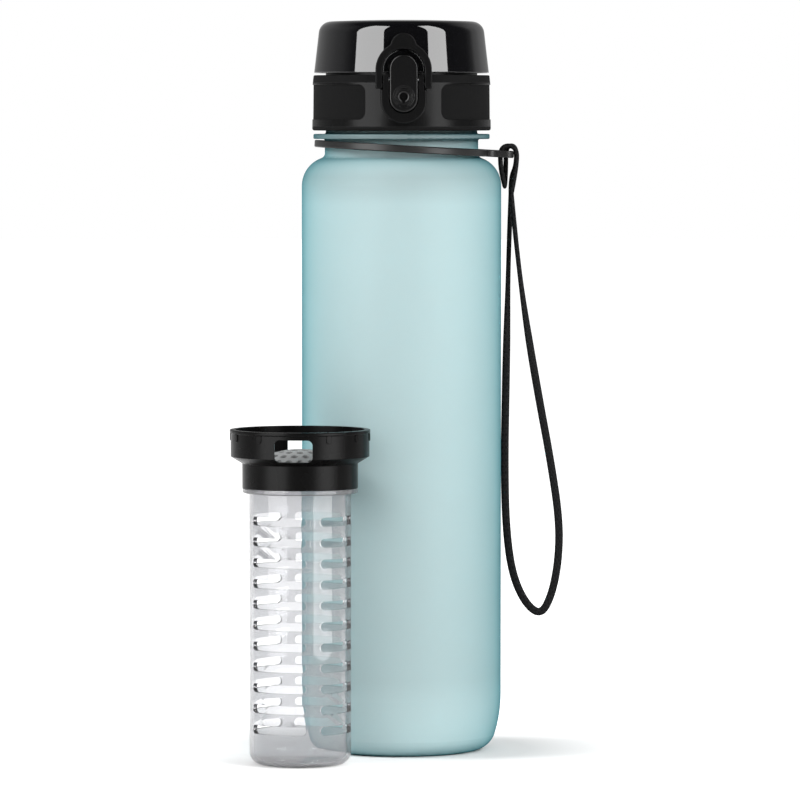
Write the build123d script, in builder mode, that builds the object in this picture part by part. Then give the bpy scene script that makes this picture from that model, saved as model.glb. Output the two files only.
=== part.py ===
"""Fruit infuser water bottle: shell, screw cap with a flip lid, wrist cord and infuser basket.

Millimetres. The origin is the middle of the base on the bottle's axis, +Z up. The button faces -Y,
the lid's hinge is at +Y and the strap's tab at +X. The infuser stands by itself beside the bottle.
"""
import math
import os

from build123d import *

os.makedirs("parts", exist_ok=True)

# Bottle
shell_r = 39.0
shell_wall = 2.0
foot_ring = 2.24
push_up = 3.2
heel_round = 8.7
side_round = 52.0
side_start_h = 21.9
shoulder_h = 221.0
neck_set_in = 9.0
root_round = 2.0
neck_wall = 2.8
neck_rise = 18.3
flange_width = 4.46
flange_t = 1.95
finish_set_in = 0.4
finish_rise = 15.25

# Screw cap
gasket_t = 1.8
thread_room = 1.5
insert_wall = 1.5
seat_depth = 4.2
deck_t = 1.8
deck_proud = 0.15
collar_clear = 0.15
collar_wall = 2.15
collar_taper = 0.16
collar_chamfer = 0.38
collar_gap = 1.35
collar_lip_t = 1.8
spout_r = 14.0
spout_wall = 2.5

# Flip lid
lid_gap = 0.85
lid_height = 20.7
lid_set_in = 0.21
lid_taper = 2.3
lid_wall = 1.8
lid_top_round = 4.8
ceiling_t = 2.3
liner_drop = 4.1
plug_flange_t = 1.5
hinge_out = 2.84
hinge_rise = 0.65
hinge_pin_r = 1.2

# Latch and lock bail
boss_half = 8.85
boss_proud = 4.0
boss_drop = 9.95
button_half = 5.45
button_length = 11.3
button_drop = 9.05
button_proud = 0.4
button_t = 2.4
latch_in = 2.6
latch_drop = 1.65
latch_pin_r = 0.8
bail_in_half = 8.1
bail_rail = 2.75
bail_t = 2.0
bail_in = 1.3
bail_drop = 3.45
bail_arch_up = 5.3
bail_tab_r = 4.95
bail_tab_up = 19.5
bail_lean = 3.0

# Wrist strap
band_clear = 1.9
band_t = 2.17
band_height = 2.8
band_drop = 3.65
band_tilt = 3.2
tab_reach = 4.9
tab_rail = 1.9
tab_bar = 1.9
leg_spread = 2.2
cord_d = 2.0

# Infuser, standing beside the bottle
infuser_azimuth = -126.91
infuser_gap = 0.7
mouth_clear = 0.3
rim_step = 0.35
cone_step = 4.4
ledge_flush = 0.05
ledge_step = 2.55
basket_wall = 1.6
basket_h = 112.0
basket_heel_round = 5.0
ledge_drop = 7.6
ledge_t = 1.9
slot_rows = 11
slot_first_h = 14.4
slot_last_drop = 10.3
slot_height = 3.4
slots_around = 4
slot_span = 73.5
neck_height = 3.6
cone_height = 2.7
barrel_height = 8.9
rim_height = 1.4
connector_wall = 1.8
window_width = 14.6
window_drop = 1.1
window_rise = 7.4
window_azimuth = -96.0
strainer_rise = 9.0

# Clearances shared by the pieces
running_fit = 0.05
moving_gap = 0.3
overrun = 1.0

# Radii that follow from these, from the shell inwards
neck_r = shell_r - neck_set_in
neck_bore_r = neck_r - neck_wall
finish_r = neck_r - finish_set_in
flange_r = neck_r + flange_width
insert_bore_r = finish_r + thread_room
insert_r = insert_bore_r + insert_wall
collar_bore_r = insert_r + collar_clear
collar_low_r = collar_bore_r + collar_wall
collar_knee_r = collar_low_r - collar_taper
collar_top_r = collar_knee_r - collar_chamfer
lid_low_r = collar_top_r - lid_set_in
lid_top_r = lid_low_r - lid_taper
band_in_r = neck_r + band_clear
connector_rim_r = neck_bore_r - mouth_clear
connector_high_r = connector_rim_r - rim_step
connector_low_r = connector_high_r - cone_step
ledge_r = connector_low_r - ledge_flush
basket_r = ledge_r - ledge_step
infuser_reach = shell_r + connector_rim_r + infuser_gap
infuser_turn = math.radians(infuser_azimuth)

# Heights that follow from these, from the shoulder upwards
flange_h = shoulder_h + neck_rise
flange_top_h = flange_h + flange_t
band_h = flange_h - band_drop
rim_h = flange_top_h + finish_rise
gasket_top_h = rim_h + gasket_t
deck_low_h = gasket_top_h + seat_depth
deck_h = deck_low_h + deck_t
collar_low_h = flange_top_h + collar_gap
collar_top_h = deck_h - deck_proud
lid_low_h = collar_top_h + lid_gap
lid_top_h = lid_low_h + lid_height
ceiling_h = lid_top_h - ceiling_t
liner_low_h = ceiling_h - liner_drop
plug_flange_low_h = liner_low_h - plug_flange_t
spout_h = plug_flange_low_h - moving_gap

# Places of the hinge and the latch, from the collar
hinge_y = collar_top_r + hinge_out
hinge_h = collar_top_h + hinge_rise
boss_face_y = -collar_low_r - boss_proud
boss_low_h = collar_top_h - boss_drop
button_face_y = boss_face_y - button_proud
button_low_h = collar_top_h - button_drop
button_high_h = button_low_h + button_length
latch_y = boss_face_y + latch_in
latch_h = collar_top_h - latch_drop
bail_pivot_y = boss_face_y + bail_in
bail_pivot_h = collar_top_h - bail_drop


def corners(sketch, *points):
    """The corners of a sketch that lie nearest to these points."""
    return [sketch.vertices().sort_by_distance(point)[0] for point in points]


def radial_plane(azimuth):
    """Upright plane through the Z axis, its x direction pointing outwards at this azimuth."""
    turn = math.radians(azimuth)
    outwards = (math.cos(turn), math.sin(turn), 0)
    across = (math.sin(turn), -math.cos(turn), 0)
    return Plane(origin=(0, 0, 0), x_dir=outwards, z_dir=across)


def finish(part, name):
    """Label a finished piece and write it to its own file."""
    part.label = name
    export_step(part, f"parts/{name}.step")


# Bottle shell: one blown piece with a compound heel, a round shoulder and a flanged neck
shoulder_round_share = 1.5
shoulder_round = shoulder_round_share * neck_set_in - root_round
side_angle = math.degrees(math.asin((side_start_h - heel_round) / (side_round - heel_round)))
foot_r = shell_r - side_round + (side_round - heel_round) * math.cos(math.radians(side_angle))
shoulder_angle = math.degrees(math.acos(1 - (shell_r - neck_r) / (shoulder_round + root_round)))
foot_in_r = foot_r - foot_ring
flange_root_round = 0.8
flange_edge_round = 0.5
rim_round = 0.7
neck_foot_h = shoulder_h + (shoulder_round + root_round) * math.sin(math.radians(shoulder_angle))


def body_outline(inset, throat_r, top_h):
    """Half outline of the body, set in from its outside, from the raised middle up to top_h."""
    narrowing = 1 - math.cos(math.radians(shoulder_angle))
    root = (shell_r - inset - throat_r) / narrowing - (shoulder_round - inset)
    crown = (0, push_up + inset)
    dome = TangentArc(crown, (foot_in_r, inset), tangent=(1, 0))
    foot = Line(dome @ 1, (foot_r, inset))
    heel = JernArc(foot @ 1, (1, 0), heel_round - inset, 90 - side_angle)
    side = JernArc(heel @ 1, heel % 1, side_round - inset, side_angle)
    wall = Line(side @ 1, (shell_r - inset, shoulder_h))
    shoulder = JernArc(wall @ 1, (0, 1), shoulder_round - inset, shoulder_angle)
    throat = JernArc(shoulder @ 1, shoulder % 1, root, -shoulder_angle)
    Polyline(throat @ 1, (throat_r, top_h), (0, top_h), crown)


with BuildPart() as bottle_shell:
    with BuildSketch(Plane.XZ):
        with BuildLine():
            body_outline(0, neck_r, flange_h)
        make_face()
    revolve(axis=Axis.Z)
    with BuildSketch(Plane.XZ) as neck:
        with BuildLine():
            Polyline(
                (neck_bore_r, neck_foot_h),
                (neck_r, neck_foot_h),
                (neck_r, flange_h),
                (flange_r, flange_h),
                (flange_r, flange_top_h),
                (finish_r, flange_top_h),
                (finish_r, rim_h),
                (neck_bore_r, rim_h),
                close=True,
            )
        make_face()
        fillet(corners(neck, (neck_r, flange_h), (finish_r, flange_top_h)), flange_root_round)
        fillet(corners(neck, (flange_r, flange_h), (flange_r, flange_top_h)), flange_edge_round)
    revolve(axis=Axis.Z)
    with BuildSketch(Plane.XZ):
        with BuildLine():
            body_outline(shell_wall, neck_bore_r, rim_h)
        make_face()
    revolve(axis=Axis.Z, mode=Mode.SUBTRACT)
    rim_edges = bottle_shell.edges().filter_by(GeomType.CIRCLE).group_by(Axis.Z)[-1]
    fillet(rim_edges, rim_round)
finish(bottle_shell.part, "bottle_shell")

# Mouth gasket: flat ring on the rim, held in the top of the insert
gasket_clear = 0.2

with BuildPart() as mouth_gasket:
    with BuildSketch(Plane.XY.offset(rim_h)):
        Circle(insert_bore_r - gasket_clear)
        Circle(neck_bore_r + gasket_clear, mode=Mode.SUBTRACT)
    extrude(amount=gasket_t)
finish(mouth_gasket.part, "mouth_gasket")

# Cap insert: threaded skirt, seat for the infuser's rim, and the raised ring round the deck
insert_set_up = 0.6
insert_low_h = collar_low_h + insert_set_up
insert_step_h = collar_top_h - collar_lip_t
seat_clear = 0.35
seat_r = connector_rim_r + seat_clear
ring_set_in = 3.0
ring_r = insert_r - ring_set_in
ring_wall = 1.6
ring_rise = 3.1
ring_h = deck_h + ring_rise
ring_lip_round = 0.5
lead_in = 0.6

with BuildPart() as cap_insert:
    with BuildSketch(Plane.XZ) as section:
        with BuildLine():
            Polyline(
                (insert_r, insert_low_h),
                (insert_r, insert_step_h),
                (ring_r, insert_step_h),
                (ring_r, ring_h),
                (ring_r - ring_wall, ring_h),
                (ring_r - ring_wall, deck_low_h),
                (seat_r, deck_low_h),
                (seat_r, gasket_top_h),
                (insert_bore_r, gasket_top_h),
                (insert_bore_r, insert_low_h),
                close=True,
            )
        make_face()
        fillet(corners(section, (ring_r, ring_h), (ring_r - ring_wall, ring_h)), ring_lip_round)
        chamfer(corners(section, (insert_bore_r, insert_low_h)), lead_in)
    revolve(axis=Axis.Z)
finish(cap_insert.part, "cap_insert")

# Drinking spout: tube on a round deck that lies on the insert's ledge, inside its raised ring
deck_r = ring_r - ring_wall - running_fit
spout_bore_r = spout_r - spout_wall
spout_lip_round = 1.0
spout_root_round = 1.5

with BuildPart() as cap_spout:
    with BuildSketch(Plane.XZ) as section:
        with BuildLine():
            Polyline(
                (deck_r, deck_low_h),
                (deck_r, deck_h),
                (spout_r, deck_h),
                (spout_r, spout_h),
                (spout_bore_r, spout_h),
                (spout_bore_r, deck_low_h),
                close=True,
            )
        make_face()
        fillet(corners(section, (spout_r, spout_h), (spout_bore_r, spout_h)), spout_lip_round)
        fillet(corners(section, (spout_r, deck_h)), spout_root_round)
    revolve(axis=Axis.Z)
finish(cap_spout.part, "cap_spout")

# Cap collar: tapered grip sleeve with two shallow panels, the latch boss in front, hinge ears behind
collar_low_round = 0.8
collar_top_round = 0.5
collar_knee_drop = 3.6
collar_knee_h = collar_top_h - collar_knee_drop
panel_depth = 0.35
panel_up = 4.3
panel_low_h = collar_low_h + panel_up
panel_down = 3.75
panel_high_h = collar_top_h - panel_down
panel_round = 3.0
panel_azimuth = -65.0
panel_span = 130.0
boss_edge_round = 0.6
pocket_half = button_half + moving_gap
pocket_low_h = button_low_h - moving_gap / 2
pocket_depth = 4.7
pocket_floor_y = boss_face_y + pocket_depth
cheek_half = bail_in_half - moving_gap
cheek_cut = boss_half - cheek_half + overrun
cheek_drop = 2.4
cheek_low_h = bail_pivot_h - cheek_drop
cheek_depth = 2.7
stub_r = 0.7
stub_length = 1.4
ear_in_x = 8.2
ear_width = 3.8
ear_out_x = ear_in_x + ear_width
ear_wall = 1.4
ear_r = hinge_pin_r + ear_wall
ear_foot_low_drop = 9.3
ear_foot_low_h = hinge_h - ear_foot_low_drop
ear_foot_high_drop = 1.8
ear_foot_high_h = hinge_h - ear_foot_high_drop
spring_seat_depth = 0.7
latch_spring_drop = 2.5
latch_spring_h = button_low_h - latch_spring_drop
latch_spring_r = 1.6
latch_wire_r = 0.2
hinge_wire_r = 0.3
hinge_coil_clear = 0.25
hinge_coil_r = hinge_pin_r + hinge_wire_r + hinge_coil_clear
hinge_coil_half = 2.4
leg_hole_out = 0.35
leg_hole_x = -hinge_coil_half - leg_hole_out


def collar_r(height):
    """Outside radius of the tapered collar at this height, below its chamfer."""
    along = (height - collar_low_h) / (collar_knee_h - collar_low_h)
    return collar_low_r + (collar_knee_r - collar_low_r) * along


with BuildPart() as panel_cutter:
    with BuildSketch(radial_plane(panel_azimuth)):
        with BuildLine():
            Polyline(
                (collar_r(panel_low_h) - panel_depth, panel_low_h),
                (collar_r(panel_low_h) + overrun, panel_low_h),
                (collar_r(panel_high_h) + overrun, panel_high_h),
                (collar_r(panel_high_h) - panel_depth, panel_high_h),
                close=True,
            )
        make_face()
    revolve(axis=Axis.Z, revolution_arc=panel_span)
    level_edges = panel_cutter.edges().filter_by(GeomType.LINE).filter_by(Plane.XY)
    fillet(level_edges, panel_round)

with BuildPart() as cap_collar:
    with BuildSketch(Plane.XZ) as section:
        with BuildLine():
            Polyline(
                (0, collar_low_h),
                (collar_low_r, collar_low_h),
                (collar_knee_r, collar_knee_h),
                (collar_top_r, collar_top_h),
                (0, collar_top_h),
                close=True,
            )
        make_face()
        fillet(corners(section, (collar_low_r, collar_low_h)), collar_low_round)
        fillet(corners(section, (collar_top_r, collar_top_h)), collar_top_round)
    revolve(axis=Axis.Z)
    add(panel_cutter.part, mode=Mode.SUBTRACT)
    add(mirror(panel_cutter.part, about=Plane.YZ, mode=Mode.PRIVATE), mode=Mode.SUBTRACT)
    with BuildSketch(Plane.XZ.offset(-boss_face_y)):
        with Locations((0, boss_low_h)):
            Circle(boss_half)
            Rectangle(2 * boss_half, collar_top_h - boss_low_h, align=(Align.CENTER, Align.MIN))
    extrude(amount=boss_face_y + collar_bore_r)
    boss_front = cap_collar.faces().sort_by(Axis.Y)[0]
    fillet(boss_front.edges(), boss_edge_round)
    with BuildSketch(Plane.YZ.offset(ear_in_x)):
        with Locations((hinge_y, hinge_h)):
            Circle(ear_r)
        with BuildLine():
            Line((collar_bore_r, ear_foot_low_h), (collar_bore_r, ear_foot_high_h))
        make_hull()
    extrude(amount=ear_out_x - ear_in_x)
    mirror(about=Plane.YZ)
    with Locations((0, 0, collar_low_h)):
        Cylinder(
            collar_bore_r,
            insert_step_h - collar_low_h,
            align=(Align.CENTER, Align.CENTER, Align.MIN),
            mode=Mode.SUBTRACT,
        )
        Cylinder(
            ring_r + collar_clear,
            collar_top_h - collar_low_h,
            align=(Align.CENTER, Align.CENTER, Align.MIN),
            mode=Mode.SUBTRACT,
        )
    with BuildSketch(Plane.XZ.offset(-pocket_floor_y)):
        with Locations((0, pocket_low_h)):
            Circle(pocket_half)
            Rectangle(
                2 * pocket_half, collar_top_h - pocket_low_h, align=(Align.CENTER, Align.MIN)
            )
    extrude(amount=pocket_floor_y - boss_face_y + overrun, mode=Mode.SUBTRACT)
    for side in (-1, 1):
        with BuildSketch(Plane.XZ.offset(-boss_face_y + overrun)):
            with Locations((side * (cheek_half + cheek_cut / 2), cheek_low_h)):
                Rectangle(cheek_cut, collar_top_h, align=(Align.CENTER, Align.MIN))
        extrude(amount=boss_face_y - overrun - bail_pivot_y - cheek_depth, mode=Mode.SUBTRACT)
    with Locations(Location((0, latch_y, latch_h), (0, 90, 0))):
        Cylinder(latch_pin_r, 2 * (boss_half + overrun), mode=Mode.SUBTRACT)
    for side in (-1, 1):
        stub_x = side * (cheek_half - stub_length / 2)
        with Locations(Location((stub_x, bail_pivot_y, bail_pivot_h), (0, 90, 0))):
            Cylinder(stub_r + running_fit, stub_length, mode=Mode.SUBTRACT)
    with Locations(Location((0, hinge_y, hinge_h), (0, 90, 0))):
        Cylinder(hinge_pin_r, 2 * (ear_out_x + overrun), mode=Mode.SUBTRACT)
    with Locations(Location((leg_hole_x, collar_top_r, hinge_h - hinge_coil_r), (90, 0, 0))):
        Cylinder(2 * hinge_wire_r, 2 * (collar_top_r - ring_r - overrun), mode=Mode.SUBTRACT)
finish(cap_collar.part, "cap_collar")

# Hinge pin: plain steel pin through the collar's ears and the lid's knuckles
pin_overhang = 0.3
pin_end_round = 0.3

with BuildPart() as hinge_pin:
    with Locations(Location((0, hinge_y, hinge_h), (0, 90, 0))):
        Cylinder(hinge_pin_r, 2 * (ear_out_x + pin_overhang))
    fillet(hinge_pin.edges().filter_by(GeomType.CIRCLE), pin_end_round)
finish(hinge_pin.part, "hinge_pin")

# Latch pin: short steel pin that the button rocks on
latch_pin_half = 7.2

with BuildPart() as latch_pin:
    with Locations(Location((0, latch_y, latch_h), (0, 90, 0))):
        Cylinder(latch_pin_r, 2 * latch_pin_half)
finish(latch_pin.part, "latch_pin")

# Latch button: rocking plate with a ringed dimple, a lug on the latch pin and a hook for the lid
button_edge_round = 0.6
dimple_up = 0.7
dimple_h = button_low_h + dimple_up
dimple_r = 2.45
dimple_depth = 1.35
dimple_floor_round = 0.95
dimple_ring_width = 1.65
dimple_ring_depth = 0.35
groove_in = 0.6
groove_width = 0.45
groove_depth = 0.25
groove_floor_y = button_face_y + dimple_ring_depth + groove_depth
lug_r = 1.6
lug_half = 4.5
hook_half = 3.6
catch_rise = 2.2
catch_h = lid_low_h + catch_rise
hook_clear = 0.4
hook_low_h = catch_h + hook_clear
hook_t = 1.6
hook_high_h = hook_low_h + hook_t
button_back_y = button_face_y + button_t
hook_reach = 1.7
hook_tip_y = button_back_y + hook_reach

with BuildPart() as latch_button:
    with BuildSketch(Plane.XZ.offset(-button_back_y)):
        with Locations((0, (button_low_h + button_high_h) / 2)):
            SlotCenterToCenter(button_high_h - button_low_h, 2 * button_half, rotation=90)
    extrude(amount=button_t)
    fillet(latch_button.faces().sort_by(Axis.Y)[0].edges(), button_edge_round)
    with Locations(Plane.XZ.offset(-button_face_y) * Pos(0, dimple_h)):
        CounterBoreHole(
            dimple_r, dimple_r + dimple_ring_width, dimple_ring_depth, depth=dimple_depth
        )
    dimple_floor = (0, button_face_y + dimple_depth, dimple_h)
    round_edges = latch_button.edges().filter_by(GeomType.CIRCLE)
    fillet(round_edges.sort_by_distance(dimple_floor)[0], dimple_floor_round)
    with BuildSketch(Plane.XZ.offset(-groove_floor_y)):
        with Locations((0, dimple_h)):
            Circle(dimple_r + groove_in + groove_width)
            Circle(dimple_r + groove_in, mode=Mode.SUBTRACT)
    extrude(amount=groove_floor_y - button_face_y, mode=Mode.SUBTRACT)
    with Locations(Location((0, latch_y, latch_h), (0, 90, 0))):
        Cylinder(lug_r, 2 * lug_half)
        Cylinder(latch_pin_r + running_fit, 2 * (button_half + overrun), mode=Mode.SUBTRACT)
    with BuildSketch(Plane.XZ.offset(-button_back_y)):
        with Locations((0, (hook_low_h + hook_high_h) / 2)):
            Rectangle(2 * hook_half, hook_high_h - hook_low_h)
    extrude(amount=button_back_y - hook_tip_y)
    with Locations(Location((0, button_back_y, latch_spring_h), (90, 0, 0))):
        Cylinder(
            latch_spring_r + latch_wire_r + moving_gap / 2,
            2 * spring_seat_depth,
            mode=Mode.SUBTRACT,
        )
finish(latch_button.part, "latch_button")


# Springs: each is one unbroken wire, its turns laid as pairs of tangent arcs a quarter turn long
def coil_point(plane, radius, rise, turn):
    """Point and direction on a coil about a plane's normal, rise being its climb per turn."""
    point = Vector(radius * math.cos(turn), radius * math.sin(turn), rise * turn / math.tau)
    ahead = Vector(-radius * math.sin(turn), radius * math.cos(turn), rise / math.tau)
    direction = plane.from_local_coords(point + ahead) - plane.from_local_coords(point)
    return plane.from_local_coords(point), direction.normalized()


def coil_wire(plane, radius, rise, quarters):
    """Draw the coil's centre line, quarters of a turn long, and return both its ends."""
    ends = []
    for step in range(quarters):
        start, out = coil_point(plane, radius, rise, step * math.tau / 4)
        stop, onward = coil_point(plane, radius, rise, (step + 1) * math.tau / 4)
        chord = stop - start
        spread = 2 * (1 - out.dot(onward))
        along = chord.dot(out + onward)
        reach = (math.sqrt(along**2 + spread * chord.dot(chord)) - along) / spread
        joint = (start + stop + (out - onward) * reach) * 0.5
        first = TangentArc(start, joint, tangent=out)
        TangentArc(joint, stop, tangent=first % 1)
        ends += [(start, out), (stop, onward)]
    return ends[0], ends[-1]


def least_gap(rise, wire_r):
    """Open space between one turn of a coil and the next."""
    return rise - 2 * wire_r


# Latch spring: small compression coil between the collar's pocket and the button
latch_spring_quarters = 12
latch_spring_length = spring_seat_depth + pocket_floor_y - button_back_y
latch_spring_rise = (latch_spring_length - 2 * latch_wire_r) / (latch_spring_quarters / 4)
latch_spring_plane = Plane(
    origin=(0, pocket_floor_y - latch_wire_r, latch_spring_h), x_dir=(1, 0, 0), z_dir=(0, -1, 0)
)

with BuildPart() as latch_spring:
    with BuildLine() as path:
        coil_wire(latch_spring_plane, latch_spring_r, latch_spring_rise, latch_spring_quarters)
    with BuildSketch(Plane(path.wires()[0] @ 0, z_dir=path.wires()[0] % 0)):
        Circle(latch_wire_r)
    sweep(path=path.wires()[0])
finish(latch_spring.part, "latch_spring")
print("latch spring least gap", round(least_gap(latch_spring_rise, latch_wire_r), 2))

# Hinge spring: torsion coil round the hinge pin, one leg under the lid's rim, one in the collar
hinge_coil_quarters = 18
lid_leg = 5.6
collar_leg = 4.6
hinge_coil_rise = 2 * hinge_coil_half / (hinge_coil_quarters / 4)
hinge_spring_plane = Plane(
    origin=(hinge_coil_half, hinge_y, hinge_h), x_dir=(0, 0, 1), z_dir=(-1, 0, 0)
)

with BuildPart() as hinge_spring:
    with BuildLine() as path:
        first, last = coil_wire(
            hinge_spring_plane, hinge_coil_r, hinge_coil_rise, hinge_coil_quarters
        )
        Line(first[0] - first[1] * lid_leg, first[0])
        Line(last[0], last[0] + last[1] * collar_leg)
    wire = path.wires()[0]
    with BuildSketch(Plane(wire @ 0, z_dir=wire % 0)):
        Circle(hinge_wire_r)
    sweep(path=wire)
finish(hinge_spring.part, "hinge_spring")
print("hinge spring least gap", round(least_gap(hinge_coil_rise, hinge_wire_r), 2))

# Lock bail: arch over the lid's nose with a thumb tab, its feet on stubs in the boss's cheeks
bail_out_half = bail_in_half + bail_rail
bail_foot_r = 1.9
bail_tab_root_round = 1.8
bail_edge_round = 0.4
bail_front = 0.8
bail_turn = math.radians(bail_lean)
bail_plane = Plane(
    origin=(0, bail_pivot_y, bail_pivot_h),
    x_dir=(1, 0, 0),
    z_dir=(0, -math.cos(bail_turn), math.sin(bail_turn)),
)
bail_tab_mid_up = bail_tab_up - bail_tab_r
bail_leg_x = bail_in_half + bail_rail / 2
stub_tip_x = cheek_half - stub_length + moving_gap

with BuildPart() as lock_bail:
    with BuildSketch(bail_plane.offset(bail_front)) as outline:
        with Locations((0, bail_arch_up)):
            Circle(bail_out_half)
        with Locations((0, bail_arch_up)):
            Rectangle(
                2 * bail_out_half, bail_arch_up + bail_foot_r, align=(Align.CENTER, Align.MAX)
            )
        with Locations((0, bail_tab_mid_up)):
            Circle(bail_tab_r)
        tab_root = (bail_tab_r, bail_tab_mid_up)
        root_corners = corners(outline, tab_root, (-bail_tab_r, bail_tab_mid_up))
        fillet(root_corners, bail_tab_root_round)
        with Locations((0, bail_arch_up)):
            Circle(bail_in_half, mode=Mode.SUBTRACT)
            Rectangle(
                2 * bail_in_half,
                bail_arch_up + bail_foot_r + overrun,
                align=(Align.CENTER, Align.MAX),
                mode=Mode.SUBTRACT,
            )
        with Locations((0, bail_tab_up)):
            Rectangle(
                2 * bail_out_half,
                bail_tab_up + bail_foot_r,
                align=(Align.CENTER, Align.MAX),
                mode=Mode.INTERSECT,
            )
    extrude(amount=-bail_t)
    front_edges = lock_bail.faces().sort_by(Axis.Y)[0].edges()
    fillet(front_edges, bail_edge_round)
    for side in (-1, 1):
        stub_x = side * (stub_tip_x + bail_leg_x) / 2
        with Locations(Location((stub_x, bail_pivot_y, bail_pivot_h), (0, 90, 0))):
            Cylinder(stub_r, bail_leg_x - stub_tip_x)
finish(lock_bail.part, "lock_bail")

# Flip lid: tapered cover with a nose arch round the button, a catch, hinge knuckles and a notch
nose_half = 7.7
nose_arch_drop = 0.4
nose_arch_h = button_high_h - nose_arch_drop
nose_proud = 1.05
nose_face_y = -lid_low_r - nose_proud
nose_edge_round = 0.3
catch_half = 4.0
catch_tip_y = hook_tip_y + moving_gap
knuckle_in_x = 4.0
knuckle_out_x = ear_in_x - moving_gap / 2
knuckle_wall = 1.2
knuckle_r = hinge_pin_r + knuckle_wall
knuckle_arm_rise = 2.6
knuckle_arm_h = hinge_h + knuckle_arm_rise
notch_half = 3.5
notch_rise = 2.35
notch_h = hinge_h + notch_rise
crown_rise = 0.8
lid_rim_round = 0.3
ceiling_round = 2.6


def lid_r(height):
    """Outside radius of the tapered lid at this height."""
    along = (height - lid_low_h) / (lid_top_h - crown_rise - lid_low_h)
    return lid_low_r + (lid_top_r - lid_low_r) * along


knuckle_arm_y = lid_r(knuckle_arm_h) - lid_wall / 2
nose_root_y = lid_wall / 2 - lid_r(nose_arch_h + nose_half)

with BuildPart() as flip_lid:
    with BuildSketch(Plane.XZ) as section:
        with BuildLine():
            edge = (lid_top_r, lid_top_h - crown_rise)
            crown = TangentArc((0, lid_top_h), edge, tangent=(1, 0))
            Polyline(edge, (lid_low_r, lid_low_h), (0, lid_low_h), (0, lid_top_h))
        make_face()
        fillet(corners(section, edge), lid_top_round)
        fillet(corners(section, (lid_low_r, lid_low_h)), lid_rim_round)
    revolve(axis=Axis.Z)
    with BuildSketch(Plane.XZ.offset(-nose_face_y)):
        with Locations((0, nose_arch_h)):
            Circle(nose_half)
            Rectangle(2 * nose_half, nose_half, align=(Align.CENTER, Align.MAX))
        with Locations((0, lid_low_h)):
            Rectangle(
                2 * nose_half,
                nose_arch_h + nose_half - lid_low_h,
                align=(Align.CENTER, Align.MIN),
                mode=Mode.INTERSECT,
            )
    extrude(amount=nose_face_y - nose_root_y)
    fillet(flip_lid.faces().sort_by(Axis.Y)[0].edges(), nose_edge_round)
    with BuildSketch(Plane.XZ.offset(lid_low_r)):
        with Locations((0, button_high_h)):
            Circle(pocket_half)
            Rectangle(2 * pocket_half, button_high_h, align=(Align.CENTER, Align.MAX))
    extrude(amount=lid_low_r, mode=Mode.SUBTRACT)
    with BuildSketch(Plane.XZ.offset(-catch_tip_y)):
        with Locations((0, lid_low_h)):
            Rectangle(2 * catch_half, catch_h - lid_low_h, align=(Align.CENTER, Align.MIN))
    extrude(amount=catch_tip_y - nose_root_y)
    for side in (-1, 1):
        with BuildSketch(Plane.YZ.offset(side * knuckle_in_x)):
            with Locations((hinge_y, hinge_h)):
                Circle(knuckle_r)
            with Locations((hinge_y, lid_low_h)):
                Rectangle(
                    hinge_y - knuckle_arm_y,
                    knuckle_arm_h - lid_low_h,
                    align=(Align.MAX, Align.MIN),
                )
        extrude(amount=side * (knuckle_out_x - knuckle_in_x))
    with BuildSketch(Plane.XZ) as section:
        with BuildLine():
            Polyline(
                (0, lid_low_h),
                (lid_low_r - lid_wall, lid_low_h),
                (lid_r(ceiling_h) - lid_wall, ceiling_h),
                (0, ceiling_h),
                close=True,
            )
        make_face()
        fillet(corners(section, (lid_r(ceiling_h) - lid_wall, ceiling_h)), ceiling_round)
    revolve(axis=Axis.Z, mode=Mode.SUBTRACT)
    with Locations(Location((0, hinge_y, hinge_h), (0, 90, 0))):
        Cylinder(hinge_pin_r + running_fit, 2 * (ear_in_x + overrun), mode=Mode.SUBTRACT)
    with BuildSketch(Plane.XZ.offset(-hinge_y)):
        with Locations((0, lid_low_h)):
            Rectangle(2 * notch_half, notch_h - lid_low_h, align=(Align.CENTER, Align.MIN))
    extrude(amount=hinge_y - ring_r, mode=Mode.SUBTRACT)
finish(flip_lid.part, "flip_lid")

# Lid liner: stiff disc under the lid's ceiling that carries the spout plug in its ring
liner_clear = 1.15
liner_r = lid_r(ceiling_h) - lid_wall - liner_clear
liner_t = 1.6
liner_wall = 1.6
plug_flange_step = 0.6
plug_flange_r = spout_r + plug_flange_step
plug_clear = 0.1
plug_ring_low_h = spout_h - moving_gap
plug_ring_wall = 1.4

with BuildPart() as lid_liner:
    with BuildSketch(Plane.XY.offset(liner_low_h)):
        Circle(liner_r)
    extrude(amount=liner_t)
    with BuildSketch(Plane.XY.offset(liner_low_h)):
        Circle(liner_r - liner_wall)
        Circle(liner_r - 2 * liner_wall, mode=Mode.SUBTRACT)
    extrude(amount=ceiling_h - liner_low_h)
    with BuildSketch(Plane.XY.offset(liner_low_h)):
        Circle(plug_flange_r + plug_clear + plug_ring_wall)
        Circle(plug_flange_r + plug_clear, mode=Mode.SUBTRACT)
    extrude(amount=plug_ring_low_h - liner_low_h)
finish(lid_liner.part, "lid_liner")

# Spout plug: soft stopper, tapered so that it leaves the spout as the lid swings up
plug_depth = 2.7
plug_tip_h = spout_h - plug_depth
plug_r = spout_bore_r - moving_gap
plug_draft = 1.5
plug_tip_r = plug_r - plug_draft
plug_tip_round = 0.8

with BuildPart() as spout_plug:
    with BuildSketch(Plane.XZ) as section:
        with BuildLine():
            Polyline(
                (0, plug_tip_h),
                (plug_tip_r, plug_tip_h),
                (plug_r, plug_flange_low_h),
                (plug_flange_r, plug_flange_low_h),
                (plug_flange_r, liner_low_h),
                (0, liner_low_h),
                close=True,
            )
        make_face()
        fillet(corners(section, (plug_tip_r, plug_tip_h)), plug_tip_round)
    revolve(axis=Axis.Z)
finish(spout_plug.part, "spout_plug")

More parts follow.
